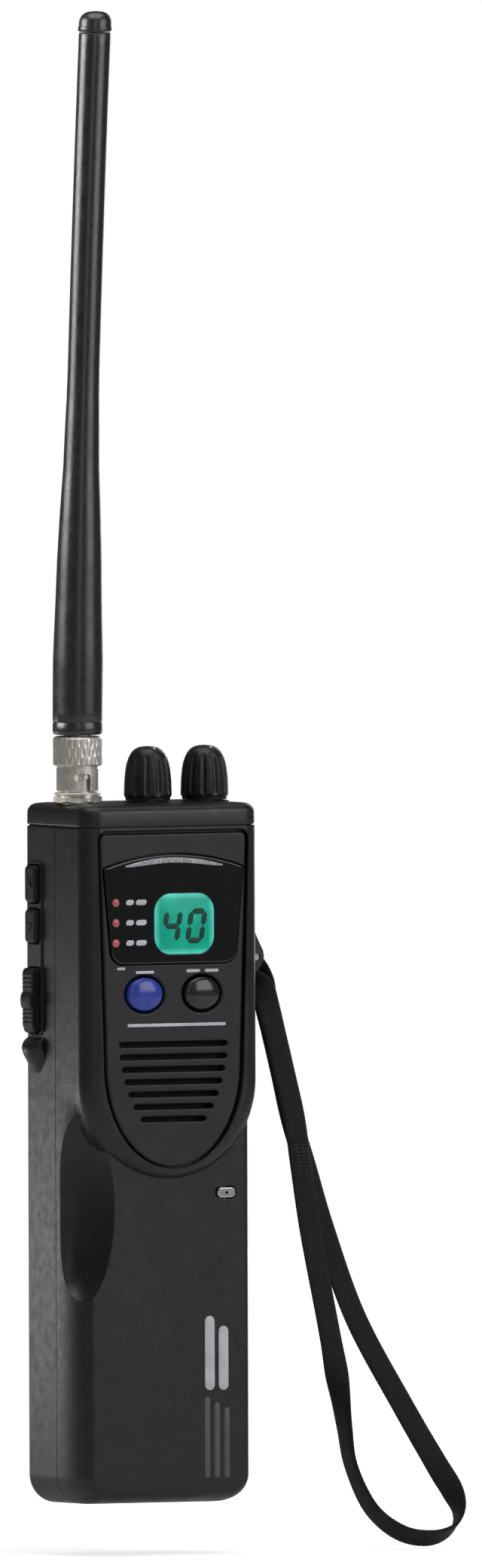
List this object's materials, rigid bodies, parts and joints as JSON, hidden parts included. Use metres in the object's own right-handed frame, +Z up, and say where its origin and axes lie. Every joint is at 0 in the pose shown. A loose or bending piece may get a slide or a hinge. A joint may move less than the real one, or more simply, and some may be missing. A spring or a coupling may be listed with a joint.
{
  "type": "handheld two-way radio",
  "caption": "Handheld two-way radio with a tall case, lit channel display, speaker grille, side talk key, bayonet whip antenna, belt clip and wrist strap.",
  "frame": {"origin": "bottom centre of the case, on its flat base", "axes": "+Z up along the case and antenna, -Y out of the display, +X to the right of someone who faces the display"},
  "size_m": [0.137, 0.0482, 0.4571],
  "materials": {
    "case": "dark charcoal moulded plastic, semi-gloss",
    "panel": "satin black plastic",
    "window": "glossy black window",
    "lcd": "backlit green display",
    "light_guide": "milky plastic",
    "board": "green circuit board",
    "key_blue": "glossy blue",
    "key_black": "glossy black",
    "side_key": "black rubber keys",
    "knob": "fluted black plastic",
    "rubber": "black rubber",
    "steel": "bare steel",
    "screw": "bright steel",
    "clip": "black painted spring steel",
    "cone": "dark paper cone",
    "trim": "bright trim",
    "nickel": "warm nickel plating",
    "brass": "bare brass",
    "cell": "cell wrap",
    "webbing": "black woven webbing"
  },
  "bodies": {
    "case": {"front_shell": "case", "rear_shell": "case", "top_cap": "case", "face_panel": "panel", "display_window": "window", "lcd_panel": "lcd", "lcd_light_guide": "light_guide", "display_board": "board", "keypad_membrane": "rubber", "speaker_frame": "steel", "speaker_cone": "cone", "speaker_magnet": "steel", "mic_trim": "trim", "microphone_boot": "rubber", "microphone_capsule": "steel", "volume_control": "steel", "squelch_control": "steel", "antenna_jack": "nickel", "jack_insulator": "light_guide", "jack_contact": "brass", "ptt_pin": "steel", "ptt_switch": "steel", "side_board": "board", "main_board": "board", "accessory_socket": "nickel", "contact_strip_left": "brass", "contact_strip_right": "brass", "clip_pin": "steel", "strap_bar": "steel", "battery_cell_1": "cell", "battery_cell_2": "cell", "battery_cell_3": "cell", "battery_cell_4": "cell", "battery_cell_5": "cell", "battery_cell_6": "cell", "battery_cell_7": "cell", "battery_cell_8": "cell", "case_screw_1": "screw", "case_screw_2": "screw", "case_screw_3": "screw", "case_screw_4": "screw"},
    "volume": {"volume_shaft": "steel", "volume_knob": "knob"},
    "squelch": {"squelch_shaft": "steel", "squelch_knob": "knob"},
    "call_key": {"call_button": "key_blue"},
    "mode_key": {"mode_button": "key_black"},
    "channel_up": {"channel_up_button": "side_key"},
    "channel_down": {"channel_down_button": "side_key"},
    "ptt": {"ptt_button": "side_key"},
    "antenna": {"antenna_plug": "nickel", "plug_pin": "brass", "antenna_sheath": "rubber", "antenna_core": "steel", "antenna_cap": "rubber"},
    "collar": {"bayonet_collar": "nickel"},
    "door": {"battery_door": "case"},
    "clip": {"belt_clip": "clip"},
    "cover": {"jack_cover": "rubber"},
    "strap": {"wrist_strap": "webbing"}
  },
  "joints": [
    {"name": "volume_turn", "type": "hinge", "parent": "case", "child": "volume", "pos_m": [0.002, -0.00175, 0.208], "axis": [0, 0, 1], "range_deg": [-150, 150]},
    {"name": "squelch_turn", "type": "hinge", "parent": "case", "child": "squelch", "pos_m": [0.021, -0.00175, 0.208], "axis": [0, 0, 1], "range_deg": [-150, 150]},
    {"name": "call_press", "type": "slide", "parent": "case", "child": "call_key", "axis": [0, 1, 0], "range_m": [0, 0.001], "stiffness_N_per_m": 400},
    {"name": "mode_press", "type": "slide", "parent": "case", "child": "mode_key", "axis": [0, 1, 0], "range_m": [0, 0.001], "stiffness_N_per_m": 400},
    {"name": "channel_up_press", "type": "slide", "parent": "case", "child": "channel_up", "axis": [1, 0, 0], "range_m": [0, 0.0008], "stiffness_N_per_m": 400},
    {"name": "channel_down_press", "type": "slide", "parent": "case", "child": "channel_down", "axis": [1, 0, 0], "range_m": [0, 0.0008], "stiffness_N_per_m": 400},
    {"name": "ptt_press", "type": "hinge", "parent": "case", "child": "ptt", "pos_m": [-0.0274, 0.01025, 0.141], "axis": [0, 1, 0], "range_deg": [0, 4.5], "stiffness_Nm_per_rad": 0.5},
    {"name": "antenna_lift", "type": "slide", "parent": "case", "child": "antenna", "axis": [0, 0, 1], "range_m": [0, 0.015]},
    {"name": "collar_turn", "type": "hinge", "parent": "antenna", "child": "collar", "pos_m": [-0.0215, -0.00175, 0.219], "axis": [0, 0, 1], "range_deg": [0, 90]},
    {"name": "door_slide", "type": "slide", "parent": "case", "child": "door", "axis": [0, 0, -1], "range_m": [0, 0.03]},
    {"name": "clip_open", "type": "hinge", "parent": "case", "child": "clip", "pos_m": [0, 0.0226, 0.181], "axis": [1, 0, 0], "range_deg": [0, 15], "stiffness_Nm_per_rad": 0.3},
    {"name": "jack_cover_open", "type": "hinge", "parent": "case", "child": "cover", "pos_m": [0.0299, 0.0032, 0.111], "axis": [0, 0, -1], "range_deg": [0, 100]},
    {"name": "strap_swing", "type": "hinge", "parent": "case", "child": "strap", "pos_m": [0.0324, -0.0074, 0.1612], "axis": [0, -1, 0], "range_deg": [-3, 55]}
  ]
}
